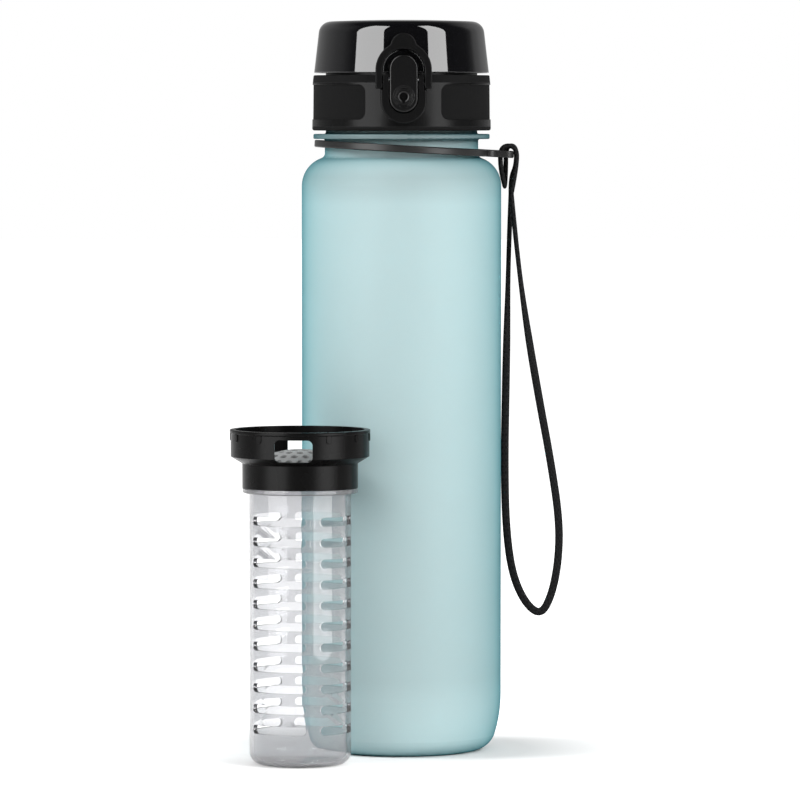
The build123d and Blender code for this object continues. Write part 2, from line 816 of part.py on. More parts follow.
# Strap band: loose ring round the neck under the flange, tilted by the weight of its cord
band_turn = math.radians(band_tilt)
band_plane = Plane(
    origin=(0, 0, band_h),
    x_dir=(math.cos(band_turn), 0, -math.sin(band_turn)),
    z_dir=(math.sin(band_turn), 0, math.cos(band_turn)),
)
band_out_r = band_in_r + band_t
band_edge_round = 0.5
tab_root_round = 4.0
tab_corner_round = 3.0
eye_clear = 0.4
eye_half = leg_spread + cord_d / 2 + eye_clear
eye_length = 4.4
eye_corner_round = 1.2
tab_half = eye_half + tab_rail
tab_end_x = shell_r + tab_reach
tab_bar_x = tab_end_x - tab_bar / 2

with BuildPart() as strap_band:
    with BuildSketch(band_plane.offset(-band_height / 2)) as outline:
        Circle(band_out_r)
        Rectangle(tab_end_x, 2 * tab_half, align=(Align.MIN, Align.CENTER))
        end_corners = corners(outline, (tab_end_x, -tab_half), (tab_end_x, tab_half))
        fillet(end_corners, tab_corner_round)
        tab_root_x = math.sqrt(band_out_r**2 - tab_half**2)
        root_corners = corners(outline, (tab_root_x, -tab_half), (tab_root_x, tab_half))
        fillet(root_corners, tab_root_round)
        Circle(band_in_r, mode=Mode.SUBTRACT)
        with Locations((tab_end_x - tab_bar, 0)):
            RectangleRounded(
                eye_length,
                2 * eye_half,
                eye_corner_round,
                align=(Align.MAX, Align.CENTER),
                mode=Mode.SUBTRACT,
            )
    extrude(amount=band_height)
    flat_faces = strap_band.faces().filter_by(GeomType.PLANE).sort_by(SortBy.AREA)[-2:]
    fillet(flat_faces.edges(), band_edge_round)
finish(strap_band.part, "strap_band")

# Strap hitch: the cord's folded end, twice through the tab's eye and over its bar
bar_h = band_h - tab_bar_x * math.sin(band_turn)
hitch_r = math.hypot(tab_bar, band_height) / 2 - band_edge_round / 2 + moving_gap + cord_d / 2
eye_leg_x = tab_bar_x - hitch_r
end_leg_x = tab_bar_x + hitch_r
hitch_end_out = 3.9
hitch_end_drop = 17.7
hitch_high_drop = 7.2
hitch_high_h = band_h - hitch_high_drop
bight_out = 1.45
bight_drop = 15.9
hitch_side = [
    (shell_r + hitch_end_out, band_h - hitch_end_drop),
    (end_leg_x, hitch_high_h),
    (end_leg_x, bar_h + hitch_r),
    (eye_leg_x, bar_h + hitch_r),
    (eye_leg_x, hitch_high_h),
    (shell_r + bight_out, band_h - bight_drop),
]
far_side = [(x, leg_spread, h) for x, h in hitch_side]
near_side = [(x, -leg_spread, h) for x, h in reversed(hitch_side)]
hitch_points = far_side + near_side


def bend_radii(points, share=0.45):
    """Radius of each corner of a cord's route: as large as the shorter of its two runs allows."""
    places = [Vector(point) for point in points]
    radii = []
    for before, here, after in zip(places, places[1:], places[2:]):
        turn = math.radians((here - before).get_angle(after - here))
        shorter = min((here - before).length, (after - here).length)
        radii.append(share * shorter / math.tan(turn / 2))
    return radii


def cord_tube(points, radii):
    """Round tube along straight runs joined by tangent arcs."""
    with BuildPart() as tube:
        with BuildLine() as route:
            FilletPolyline(*points, radius=radii)
        route_wire = route.wires()[0]
        with BuildSketch(Plane(route_wire @ 0, z_dir=route_wire % 0)):
            Circle(cord_d / 2)
        sweep(path=route_wire)
    return tube.part, route_wire.length


hitch_radii = bend_radii(hitch_points)
strap_hitch, hitch_length = cord_tube(hitch_points, hitch_radii)
finish(strap_hitch, "strap_hitch")
print("hitch radii", [round(radius, 1) for radius in hitch_radii])

# Strap cord: the free loop, from the hitch down beside the shell, round a tight fold and back up
loop_side = [
    (hitch_end_out, leg_spread, hitch_end_drop),
    (3.1, 2.0, 38.2),
    (2.5, 1.6, 65.2),
    (1.9, 1.2, 94.2),
    (1.45, 0.9, 122.2),
    (1.9, 0.6, 147.2),
    (4.2, 0.3, 166.2),
    (9.3, 0.1, 178.2),
    (15.6, 0.0, 183.4),
    (19.9, -0.1, 175.7),
    (22.6, -0.4, 162.2),
    (23.0, -0.8, 146.2),
    (19.6, -1.2, 123.2),
    (14.6, -1.6, 96.7),
    (9.9, -1.9, 69.2),
    (6.2, -2.1, 41.7),
    (hitch_end_out, -leg_spread, hitch_end_drop),
]
cord_points = [(shell_r + out, y, band_h - drop) for out, y, drop in loop_side]
cord_radii = bend_radii(cord_points)
strap_cord, cord_length = cord_tube(cord_points, cord_radii)
finish(strap_cord, "strap_cord")
print("cord radii", [round(radius, 1) for radius in cord_radii])
print("cord length", round(cord_length + hitch_length, 1))
section_area = math.pi * cord_d**2 / 4
cord_share = strap_cord.volume / (section_area * cord_length)
hitch_share = strap_hitch.volume / (section_area * hitch_length)
print("cord and hitch volume against section times length", round(cord_share, 4), round(hitch_share, 4))


# Infuser basket: clear cup with rows of slots, a ledge, and a collar that the connector sits over
infuser_x = infuser_reach * math.cos(infuser_turn)
infuser_y = infuser_reach * math.sin(infuser_turn)
stand = Plane(origin=(infuser_x, infuser_y, 0))
ledge_h = basket_h - ledge_drop
basket_bore_r = basket_r - basket_wall
slot_end_flat = 0.05
slot_round = slot_height / 2 - slot_end_flat
slot_pitch = (ledge_h - slot_last_drop - slot_first_h) / (slot_rows - 1)
slot_azimuth = -120.0
ledge_edge_round = 0.4

with BuildPart() as slot_cutter:
    with BuildSketch(radial_plane(slot_azimuth - slot_span / 2)):
        with Locations((basket_r - basket_wall - overrun, slot_first_h)):
            Rectangle(basket_wall + 2 * overrun, slot_height, align=(Align.MIN, Align.CENTER))
    revolve(axis=Axis.Z, revolution_arc=slot_span)
    level_edges = slot_cutter.edges().filter_by(GeomType.LINE).filter_by(Plane.XY)
    fillet(level_edges, slot_round)

with BuildPart() as infuser_basket:
    with BuildSketch(Plane.XZ) as section:
        with BuildLine():
            Polyline(
                (0, 0),
                (basket_r, 0),
                (basket_r, ledge_h),
                (ledge_r, ledge_h),
                (ledge_r, ledge_h + ledge_t),
                (basket_r, ledge_h + ledge_t),
                (basket_r, basket_h),
                (basket_bore_r, basket_h),
                (basket_bore_r, basket_wall),
                (0, basket_wall),
                close=True,
            )
        make_face()
        fillet(corners(section, (basket_r, 0)), basket_heel_round)
        fillet(corners(section, (basket_bore_r, basket_wall)), basket_heel_round - basket_wall)
        fillet(corners(section, (ledge_r, ledge_h), (ledge_r, ledge_h + ledge_t)), ledge_edge_round)
    revolve(axis=Axis.Z)
    with Locations(*[(0, 0, row * slot_pitch) for row in range(slot_rows)]):
        with PolarLocations(0, slots_around):
            add(slot_cutter.part, mode=Mode.SUBTRACT)
finish(stand.location * infuser_basket.part, "infuser_basket")

# Infuser connector: ring over the basket's collar, widening to a barrel with two windows and a rim
connector_low_h = ledge_h + ledge_t
connector_cone_h = basket_h + neck_height
connector_barrel_h = connector_cone_h + cone_height
connector_rim_h = connector_barrel_h + barrel_height
connector_top_h = connector_rim_h + rim_height
window_low_h = connector_barrel_h - window_drop
window_high_h = connector_barrel_h + window_rise
connector_bore_r = basket_r + moving_gap
shelf_clear = 1.0
shelf_low_h = basket_h + shelf_clear
shelf_t = 1.6
shelf_width = 4.65
shelf_r = connector_low_r - shelf_width
window_round = 2.0
ribs_a_side = 5
rib_spacing = 30.0
rib_width = 2.0
rib_length = 1.9
rib_low_h = connector_rim_h - rib_length
rim_edge_round = 0.3
cone_bore_low_h = connector_cone_h + connector_wall / 4
cone_bore_high_h = connector_barrel_h + connector_wall / 4

with BuildPart() as rib:
    with BuildSketch(radial_plane(window_azimuth + 90).offset(connector_high_r - overrun)) as outline:
        with Locations((0, connector_rim_h)):
            Rectangle(rib_width, connector_rim_h - rib_low_h, align=(Align.CENTER, Align.MAX))
        with Locations((0, rib_low_h)):
            Circle(rib_width / 2)
    extrude(amount=connector_rim_r - connector_high_r + overrun)

with BuildPart() as infuser_connector:
    with BuildSketch(Plane.XZ) as section:
        with BuildLine():
            Polyline(
                (connector_low_r, connector_low_h),
                (connector_low_r, connector_cone_h),
                (connector_high_r, connector_barrel_h),
                (connector_high_r, connector_rim_h),
                (connector_rim_r, connector_rim_h),
                (connector_rim_r, connector_top_h),
                (connector_high_r - connector_wall, connector_top_h),
                (connector_high_r - connector_wall, cone_bore_high_h),
                (connector_low_r - connector_wall, cone_bore_low_h),
                (connector_low_r - connector_wall, shelf_low_h + shelf_t),
                (shelf_r, shelf_low_h + shelf_t),
                (shelf_r, shelf_low_h),
                (connector_bore_r, shelf_low_h),
                (connector_bore_r, connector_low_h),
                close=True,
            )
        make_face()
        rim_corners = corners(
            section, (connector_rim_r, connector_rim_h), (connector_rim_r, connector_top_h)
        )
        fillet(rim_corners, rim_edge_round)
    revolve(axis=Axis.Z)
    with BuildSketch(radial_plane(window_azimuth + 90)):
        with Locations((0, (window_low_h + window_high_h) / 2)):
            RectangleRounded(window_width, window_high_h - window_low_h, window_round)
    extrude(amount=connector_rim_r + overrun, both=True, mode=Mode.SUBTRACT)
    for side in (-90, 90):
        with PolarLocations(
            0,
            ribs_a_side,
            start_angle=side - rib_spacing * (ribs_a_side - 1) / 2,
            angular_range=rib_spacing * (ribs_a_side - 1),
            endpoint=True,
        ):
            add(rib.part)
finish(stand.location * infuser_connector.part, "infuser_connector")

# Infuser strainer: domed disc with rings of holes, lying on the connector's shelf
strainer_r = connector_low_r - connector_wall - moving_gap / 2
strainer_t = 1.2
strainer_flat = 1.4
strainer_hole_share = 0.32
strainer_hole_rings = 4
strainer_holes_per_ring = 6
strainer_low_h = shelf_low_h + shelf_t
dome_r = strainer_r - strainer_flat
hole_pitch = dome_r / (strainer_hole_rings + 0.5)
strainer_hole_r = strainer_hole_share * hole_pitch
strainer_crown_h = basket_h + strainer_rise

with BuildPart() as infuser_strainer:
    with BuildSketch(Plane.XZ):
        with BuildLine():
            crown = (0, strainer_crown_h)
            under_crown = (0, strainer_crown_h - strainer_t)
            dome = TangentArc(crown, (dome_r, strainer_low_h + strainer_t), tangent=(1, 0))
            inner = TangentArc(under_crown, (dome_r - strainer_t, strainer_low_h), tangent=(1, 0))
            Polyline(
                dome @ 1,
                (strainer_r, strainer_low_h + strainer_t),
                (strainer_r, strainer_low_h),
                inner @ 1,
            )
            Line(crown, under_crown)
        make_face()
    revolve(axis=Axis.Z)
    with Locations((0, 0, strainer_low_h)):
        for ring in range(1, strainer_hole_rings + 1):
            with PolarLocations(ring * hole_pitch, strainer_holes_per_ring * ring):
                Cylinder(
                    strainer_hole_r, 2 * (strainer_crown_h - strainer_low_h), mode=Mode.SUBTRACT
                )
finish(stand.location * infuser_strainer.part, "infuser_strainer")
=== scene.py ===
"""Looks of the fruit infuser water bottle: shell, screw cap, wrist cord and the infuser beside it."""
import math

import bmesh
import bpy
from mathutils import Matrix, Vector


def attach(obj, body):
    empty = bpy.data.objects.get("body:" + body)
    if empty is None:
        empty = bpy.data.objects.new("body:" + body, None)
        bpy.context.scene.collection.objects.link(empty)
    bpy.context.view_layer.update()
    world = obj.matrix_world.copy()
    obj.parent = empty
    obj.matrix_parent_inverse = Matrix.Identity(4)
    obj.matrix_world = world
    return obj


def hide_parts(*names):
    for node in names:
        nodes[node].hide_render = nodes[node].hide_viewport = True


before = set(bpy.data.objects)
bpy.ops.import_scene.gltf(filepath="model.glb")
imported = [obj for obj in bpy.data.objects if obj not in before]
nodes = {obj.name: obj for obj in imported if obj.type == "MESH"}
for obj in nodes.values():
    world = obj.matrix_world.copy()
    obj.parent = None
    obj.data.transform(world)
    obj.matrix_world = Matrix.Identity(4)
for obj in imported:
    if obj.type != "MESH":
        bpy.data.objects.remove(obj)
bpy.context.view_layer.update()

scene = bpy.context.scene
scene.view_settings.view_transform = "Standard"

# View. The bottle is seen from a little over two metres away with a long lens, from the height of
# the cap and a touch to its left, so the shell's foot shows as a slight curve.
eye_distance = 2.27
eye_height = 0.2505
eye_azimuth = math.radians(-1.25)
eye_tilt = math.radians(2.86)
eye_swing = math.radians(0.015)
lens_mm = 261
sensor_mm = 36
sight_limit = 30
eye = bpy.data.objects.new("view", bpy.data.cameras.new("view"))
eye.data.lens = lens_mm
eye.data.sensor_width = sensor_mm
eye.data.clip_end = sight_limit
eye.location = (
    eye_distance * math.sin(eye_azimuth),
    -eye_distance * math.cos(eye_azimuth),
    eye_height,
)
eye.rotation_euler = (math.pi / 2 - eye_tilt, 0, eye_azimuth + eye_swing)
scene.collection.objects.link(eye)
scene.camera = eye


# Room and table. A wide matt white sweep lies under the object in a plain white room. Both are white
# to the eye, through clear plastic and in gloss, and a little dimmer where they light the object.
def combined(tree, operation, first, second):
    """Two values taken together by one Math node."""
    node = tree.nodes.new("ShaderNodeMath")
    node.operation = operation
    tree.links.new(first, node.inputs[0])
    tree.links.new(second, node.inputs[1])
    return node.outputs[0]


def graded(tree, source, start, stop, low, high):
    """A value that goes from low to high while its source goes from start to stop."""
    node = tree.nodes.new("ShaderNodeMapRange")
    node.inputs["From Min"].default_value = start
    node.inputs["From Max"].default_value = stop
    node.inputs["To Min"].default_value = low
    node.inputs["To Max"].default_value = high
    tree.links.new(source, node.inputs["Value"])
    return node.outputs["Result"]


def looked_at(tree):
    """One on a ray from the eye, through clear plastic or off gloss, and nought on a ray of light."""
    ray = tree.nodes.new("ShaderNodeLightPath").outputs
    seen = combined(tree, "MAXIMUM", ray["Is Camera Ray"], ray["Is Transmission Ray"])
    return combined(tree, "MAXIMUM", seen, ray["Is Glossy Ray"])


room_light = 0.73
room_seen = 1.0
room = bpy.data.worlds.new("room")
scene.world = room
room.use_nodes = True
tree = room.node_tree
level = graded(tree, looked_at(tree), 0, 1, room_light, room_seen)
tree.links.new(level, tree.nodes["Background"].inputs["Strength"])
tree.nodes["Background"].inputs["Color"].default_value = (1, 1, 1, 1)

table_radius = 9.0
table_sides = 64
table_grey = 0.7
sweep = bpy.data.meshes.new("table")
bm = bmesh.new()
bmesh.ops.create_circle(bm, cap_ends=True, segments=table_sides, radius=table_radius)
bm.to_mesh(sweep)
bm.free()
table = bpy.data.objects.new("table", sweep)
scene.collection.objects.link(table)
matt_white = bpy.data.materials.new("matt_white")
matt_white.use_nodes = True
tree = matt_white.node_tree
paint = tree.nodes["Principled BSDF"]
paint.inputs["Base Color"].default_value = (table_grey, table_grey, table_grey, 1)
paint.inputs["Roughness"].default_value = 1.0
paint.inputs["Specular IOR Level"].default_value = 0.0

# A painted glow, seen on rays from the eye, through clear plastic and in gloss, whitens the table
# away from the bottle and the infuser, where their soft shadows end. The infuser is the slimmer of
# the two, so the distance from its middle is counted a little longer.
infuser_place = (-0.04, -0.05325)
infuser_slimmer = 0.036
painted_glow_start = 0.05
painted_glow_stop = 0.12
painted_glow_full = 0.65
where = tree.nodes.new("ShaderNodeTexCoord").outputs["Object"]
from_bottle = tree.nodes.new("ShaderNodeVectorMath")
from_bottle.operation = "LENGTH"
from_infuser = tree.nodes.new("ShaderNodeVectorMath")
from_infuser.operation = "DISTANCE"
from_infuser.inputs[1].default_value = (*infuser_place, 0)
slimmer = tree.nodes.new("ShaderNodeMath")
slimmer.inputs[1].default_value = infuser_slimmer
tree.links.new(where, from_bottle.inputs[0])
tree.links.new(where, from_infuser.inputs[0])
tree.links.new(from_infuser.outputs["Value"], slimmer.inputs[0])
nearer = combined(tree, "MINIMUM", from_bottle.outputs["Value"], slimmer.outputs[0])
painted_glow_level = graded(tree, nearer, painted_glow_start, painted_glow_stop, 0, painted_glow_full)
glow = tree.nodes.new("ShaderNodeEmission")
glow.inputs["Color"].default_value = (1, 1, 1, 1)
both = tree.nodes.new("ShaderNodeAddShader")
tree.links.new(combined(tree, "MULTIPLY", looked_at(tree), painted_glow_level), glow.inputs["Strength"])
tree.links.new(paint.outputs[0], both.inputs[0])
tree.links.new(glow.outputs[0], both.inputs[1])
tree.links.new(both.outputs[0], tree.nodes["Material Output"].inputs["Surface"])
sweep.materials.append(matt_white)


# Lamps. Two tall soft boxes stand in front, left and right, and give the gloss its two pale bands.
# A key lamp at each side lights the colours and throws the soft shadows on the table, and two low
# strips close to the infuser draw the upright bands on its clear wall.
def soft_box(name, degrees, distance, height, width, tall, watts, glossy, about=(0, 0)):
    """A lamp turned to the upright line at about, for the gloss alone or for all but the gloss."""
    lamp = bpy.data.lights.new(name, "AREA")
    lamp.shape = "RECTANGLE"
    lamp.size = width
    lamp.size_y = tall
    lamp.energy = watts
    box = bpy.data.objects.new(name, lamp)
    azimuth = math.radians(degrees)
    centre = Vector((*about, height))
    place = centre + Vector((distance * math.sin(azimuth), -distance * math.cos(azimuth), 0))
    box.location = place
    box.rotation_euler = (centre - place).to_track_quat("-Z", "Y").to_euler()
    box.visible_camera = False
    box.visible_transmission = False
    box.visible_glossy = glossy
    box.visible_diffuse = not glossy
    scene.collection.objects.link(box)
    return box


band = {"distance": 1.3, "height": 1.45, "tall": 2.8, "glossy": True}
soft_box("band_left", degrees=-45.6, width=0.94, watts=89, **band)
soft_box("band_right", degrees=48.8, width=0.62, watts=60, **band)
key = {"distance": 1.5, "width": 0.8, "tall": 0.8, "glossy": False}
key_left = soft_box("key_left", degrees=-86, height=1.0, watts=37, **key)
soft_box("key_right", degrees=47, height=0.9, watts=28, **key)
strip = {"distance": 0.45, "height": 0.06, "width": 0.38, "tall": 0.12, "glossy": True}
soft_box("strip_left", degrees=-52, watts=0.45, about=infuser_place, **strip)
soft_box("strip_right", degrees=52, watts=0.65, about=infuser_place, **strip)

# The left key shines past the infuser, whose clear wall would else shade the shell as a solid does.
passed = bpy.data.collections.new("passed_by_key_left")
for node in ("infuser_basket", "infuser_connector"):
    passed.objects.link(nodes[node])
key_left.light_linking.blocker_collection = passed
for link in passed.collection_objects:
    link.light_linking.link_state = "EXCLUDE"


# Black flags. The cards round the lamps that keep the rest of the room out of the gloss. They are
# dark in front, between and beside the soft boxes, grey behind the object and dark again overhead.
def toned(tree, source, stops):
    """Colours over a source from 0 to 1, each stop a place on it and the colour there."""
    ramp = tree.nodes.new("ShaderNodeValToRGB")
    marks = ramp.color_ramp.elements
    for end in (0, -1):
        marks[end].position = stops[end][0]
        marks[end].color = (*stops[end][1], 1)
    for place, colour in stops[1:-1]:
        marks.new(place).color = (*colour, 1)
    tree.links.new(source, ramp.inputs["Fac"])
    return ramp.outputs["Color"]


flag_radius = 4.0
flag_height = 8.0
flag_middle = 3.9
flag_sides = 96
dim_start = 2.5
dim_stop = 6.0
dim_share = 0.08
facing_down = -0.5
flag_mesh = bpy.data.meshes.new("flags")
bm = bmesh.new()
bmesh.ops.create_cone(
    bm, cap_ends=True, segments=flag_sides, radius1=flag_radius, radius2=flag_radius, depth=flag_height
)
bottom = [face for face in bm.faces if face.normal.z < facing_down]
bmesh.ops.delete(bm, geom=bottom, context="FACES")
bmesh.ops.reverse_faces(bm, faces=bm.faces[:])
bm.transform(Matrix.Translation((0, 0, flag_middle)))
bm.to_mesh(flag_mesh)
bm.free()
flags = bpy.data.objects.new("flags", flag_mesh)
scene.collection.objects.link(flags)
flags.visible_camera = False
flags.visible_diffuse = False
flags.visible_transmission = False
flags.visible_shadow = False
black_card = bpy.data.materials.new("black_card")
black_card.use_nodes = True
tree = black_card.node_tree
tree.nodes.remove(tree.nodes["Principled BSDF"])

# The grey of the cards goes round by the degrees from straight in front, counted to the right.
card_greys = [
    (0, 0.03),
    (40, 0.03),
    (72, 0.04),
    (98, 0.06),
    (108, 0.2),
    (116, 0.55),
    (134, 0.6),
    (155, 0.4),
    (205, 0.4),
    (227, 0.5),
    (249, 0.5),
    (270, 0.4),
    (287, 0.12),
    (300, 0.05),
    (360, 0.03),
]
where = tree.nodes.new("ShaderNodeTexCoord").outputs["Object"]
facing_front = tree.nodes.new("ShaderNodeMapping")
facing_front.inputs["Rotation"].default_value = (0, 0, math.radians(-90))
turn = tree.nodes.new("ShaderNodeTexGradient")
turn.gradient_type = "RADIAL"
split = tree.nodes.new("ShaderNodeSeparateXYZ")
glow = tree.nodes.new("ShaderNodeEmission")
tree.links.new(where, facing_front.inputs["Vector"])
tree.links.new(facing_front.outputs["Vector"], turn.inputs["Vector"])
card_stops = [(degrees / 360, (grey, grey, grey)) for degrees, grey in card_greys]
tree.links.new(toned(tree, turn.outputs["Color"], card_stops), glow.inputs["Color"])
tree.links.new(where, split.inputs["Vector"])
dimmed = graded(tree, split.outputs["Z"], dim_start, dim_stop, 1, dim_share)
tree.links.new(dimmed, glow.inputs["Strength"])
tree.links.new(glow.outputs[0], tree.nodes["Material Output"].inputs["Surface"])
flag_mesh.materials.append(black_card)


# Bottle shell. Blown copolyester, tinted turquoise all through and frosted outside by a finely
# etched mould. Painted shade darkens its colour up the shoulder and the neck, below the cap.
def clouded(tree, where, scale, detail=2.0):
    """Soft random clouds, scale of them to the metre."""
    cloud = tree.nodes.new("ShaderNodeTexNoise")
    cloud.inputs["Scale"].default_value = scale
    cloud.inputs["Detail"].default_value = detail
    tree.links.new(where, cloud.inputs["Vector"])
    return cloud.outputs["Fac"]


def moulded(name, colour, roughness, grain, grain_depth, mottle=0.08, shine=0.15, edge=0.0):
    """Moulded plastic, its colour a little uneven and its skin as fine-grained as the mould's.

    The grain is in specks a metre; its depth, and the radius of the softened edges, are in metres.
    """
    cloud_scale = 45
    cloud_detail = 3
    wear = 0.1
    edge_samples = 6
    material = bpy.data.materials.new(name)
    material.use_nodes = True
    tree = material.node_tree
    skin = tree.nodes["Principled BSDF"]
    skin.inputs["Specular IOR Level"].default_value = shine
    where = tree.nodes.new("ShaderNodeTexCoord").outputs["Object"]
    cloud = clouded(tree, where, cloud_scale, cloud_detail)
    tint = tree.nodes.new("ShaderNodeMix")
    tint.data_type = "RGBA"
    tint.inputs["A"].default_value = (*[c * (1 - mottle) for c in colour], 1)
    tint.inputs["B"].default_value = (*[min(1, c * (1 + mottle)) for c in colour], 1)
    tree.links.new(cloud, tint.inputs["Factor"])
    tree.links.new(tint.outputs["Result"], skin.inputs["Base Color"])
    worn = graded(tree, cloud, 0, 1, roughness * (1 - wear), roughness * (1 + wear))
    tree.links.new(worn, skin.inputs["Roughness"])
    relief = tree.nodes.new("ShaderNodeBump")
    relief.inputs["Strength"].default_value = 1.0
    relief.inputs["Distance"].default_value = grain_depth
    tree.links.new(clouded(tree, where, grain), relief.inputs["Height"])
    tree.links.new(relief.outputs["Normal"], skin.inputs["Normal"])
    if edge:
        corner = tree.nodes.new("ShaderNodeBevel")
        corner.samples = edge_samples
        corner.inputs["Radius"].default_value = edge
        tree.links.new(corner.outputs["Normal"], relief.inputs["Normal"])
    return material


def dress(node, material):
    """Give a CAD piece its finish."""
    piece = nodes[node]
    piece.data.materials.clear()
    piece.data.materials.append(material)


frosted = moulded(
    "frosted_turquoise",
    colour=(0.88, 0.94, 0.93),
    roughness=0.62,
    grain=5200,
    grain_depth=0.00001,
    mottle=0.02,
    shine=0.06,
)
tree = frosted.node_tree
skin = tree.nodes["Principled BSDF"]
skin.inputs["Transmission Weight"].default_value = 0.4
skin.inputs["IOR"].default_value = 1.5
skin.inputs["Coat Weight"].default_value = 1.0
skin.inputs["Coat IOR"].default_value = 1.018
skin.inputs["Coat Roughness"].default_value = 0.6
skin.inputs["Coat Tint"].default_value = (0.67, 0.80, 0.822, 1)
depth = tree.nodes.new("ShaderNodeVolumeAbsorption")
depth.inputs["Color"].default_value = (0.35, 0.68, 0.73, 1)
depth.inputs["Density"].default_value = 25
tree.links.new(depth.outputs["Volume"], tree.nodes["Material Output"].inputs["Volume"])

# The colour carries painted shade that changes with height: painted light at the pale foot, where
# the table shades it, and painted shade up the shoulder to the dark ring of the support flange and
# the finish above it, under the cap.
shade_top = 0.26
wall_painted_shades = [
    (0.01, 1.0),
    (0.03, 0.82),
    (0.075, 0.83),
    (0.12, 0.85),
    (0.19, 0.88),
    (0.214, 0.87),
    (0.2248, 0.67),
    (0.2306, 0.79),
    (0.2375, 0.68),
]
finish_height = 0.2392
finish_painted_shade = (0.32, 0.335, 0.34)
painted_shade_stops = [(height / shade_top, (shade, shade, shade)) for height, shade in wall_painted_shades]
painted_shade_stops.append((finish_height / shade_top, finish_painted_shade))
where = tree.nodes.new("ShaderNodeTexCoord").outputs["Object"]
split = tree.nodes.new("ShaderNodeSeparateXYZ")
tree.links.new(where, split.inputs["Vector"])
rise = graded(tree, split.outputs["Z"], 0, shade_top, 0, 1)
# The mottled base colour is multiplied here by the painted shade.
height_shade = tree.nodes.new("ShaderNodeMix")
height_shade.data_type = "RGBA"
height_shade.blend_type = "MULTIPLY"
height_shade.inputs["Factor"].default_value = 1.0
mottled = skin.inputs["Base Color"].links[0].from_socket
tree.links.new(mottled, height_shade.inputs["A"])
tree.links.new(toned(tree, rise, painted_shade_stops), height_shade.inputs["B"])
tree.links.new(height_shade.outputs["Result"], skin.inputs["Base Color"])
dress("bottle_shell", frosted)

# Neck thread. A single trapezoid ridge moulded with the shell, a little over one and a half turns
# round the finish and fading out at both ends. The cap's thread is the same ridge turned inwards.
thread_pitch = 0.0045
thread_turns = 1.6
thread_foot = 0.2445


def thread(name, root_r, crest_r, start):
    """One helical ridge from root_r to crest_r, its ends tapered into the wall."""
    root_half = 0.0011
    crest_half = 0.0005
    let_in = 0.0003
    crest_reach = 0.0002
    fades_per_turn = 6
    steps_per_turn = 72
    same_spot = 1e-7
    way = 1 if crest_r > root_r else -1
    sunk_r = root_r - way * let_in
    outline = [
        (sunk_r, -root_half),
        (crest_r, -crest_half),
        (crest_r, crest_half),
        (sunk_r, root_half),
    ]
    bm = bmesh.new()
    bm.faces.new([bm.verts.new((r, 0, thread_foot + z)) for r, z in outline])
    bmesh.ops.spin(
        bm,
        geom=bm.verts[:] + bm.edges[:] + bm.faces[:],
        cent=(0, 0, 0),
        axis=(0, 0, 1),
        dvec=(0, 0, thread_pitch / steps_per_turn),
        angle=math.tau * thread_turns,
        steps=int(thread_turns * steps_per_turn),
        use_duplicate=False,
    )
    for vert in bm.verts:
        radius = math.hypot(vert.co.x, vert.co.y)
        along = (vert.co.z - thread_foot) / (thread_pitch * thread_turns)
        full = min(1.0, max(0.0, min(along, 1 - along) * thread_turns * fades_per_turn))
        if abs(radius - crest_r) < crest_reach:
            wanted = sunk_r + (crest_r - sunk_r) * full
            vert.co.x *= wanted / radius
            vert.co.y *= wanted / radius
    bmesh.ops.rotate(bm, verts=bm.verts[:], cent=(0, 0, 0), matrix=Matrix.Rotation(start, 3, "Z"))
    bmesh.ops.remove_doubles(bm, verts=bm.verts[:], dist=same_spot)
    bmesh.ops.recalc_face_normals(bm, faces=bm.faces[:])
    mesh = bpy.data.meshes.new(name)
    bm.to_mesh(mesh)
    bm.free()
    ridge = bpy.data.objects.new(name, mesh)
    scene.collection.objects.link(ridge)
    return ridge


neck_thread = thread("neck_thread", root_r=0.0296, crest_r=0.03085, start=0.0)
neck_thread.data.materials.append(frosted)
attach(neck_thread, "bottle")

# Mouth gasket and spout plug. Soft milky silicone, cast smooth. The gasket is held in the top of
# the insert, on the bottle's rim, and the plug in the ring of the lid's liner, over the spout.
silicone = moulded(
    "milky_silicone",
    colour=(0.70, 0.71, 0.70),
    roughness=0.5,
    grain=1500,
    grain_depth=0.000004,
    mottle=0.04,
)
skin = silicone.node_tree.nodes["Principled BSDF"]
skin.inputs["Subsurface Weight"].default_value = 0.25
skin.inputs["Subsurface Scale"].default_value = 0.002
dress("mouth_gasket", silicone)
dress("spout_plug", silicone)

# Cap insert, spout and liner. Black polypropylene, injection moulded. The insert sits in the collar
# and carries the inner thread, with the spout on its ledge; the liner is under the lid's ceiling.
satin = moulded(
    "satin_black",
    colour=(0.006, 0.006, 0.0062),
    roughness=0.34,
    grain=2600,
    grain_depth=0.000006,
    shine=0.1,
)
for node in ("cap_insert", "cap_spout", "lid_liner"):
    dress(node, satin)
cap_thread = thread("cap_thread", root_r=0.0311, crest_r=0.02985, start=math.pi)
cap_thread.data.materials.append(satin)
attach(cap_thread, "cap")

# Cap collar. The outer sleeve that the hand turns, injection moulded in satin black. Its two sunk
# grip panels are etched matt by the mould, and so is the band along its foot.
moulded_edge = 0.00025
collar_roughness = 0.26
etched_roughness = 0.9
panel_r = 0.03464
sleeve_r = 0.03468
foot_band_low = 0.2438
foot_band_high = 0.2446
collar_skin = moulded(
    "collar_black",
    colour=(0.004, 0.004, 0.0041),
    roughness=collar_roughness,
    grain=2600,
    grain_depth=0.000004,
    shine=0.06,
    edge=moulded_edge,
)
tree = collar_skin.node_tree
where = tree.nodes.new("ShaderNodeTexCoord").outputs["Object"]
flat_part = tree.nodes.new("ShaderNodeVectorMath")
flat_part.operation = "MULTIPLY"
flat_part.inputs[1].default_value = (1, 1, 0)
from_axis = tree.nodes.new("ShaderNodeVectorMath")
from_axis.operation = "LENGTH"
split = tree.nodes.new("ShaderNodeSeparateXYZ")
tree.links.new(where, flat_part.inputs[0])
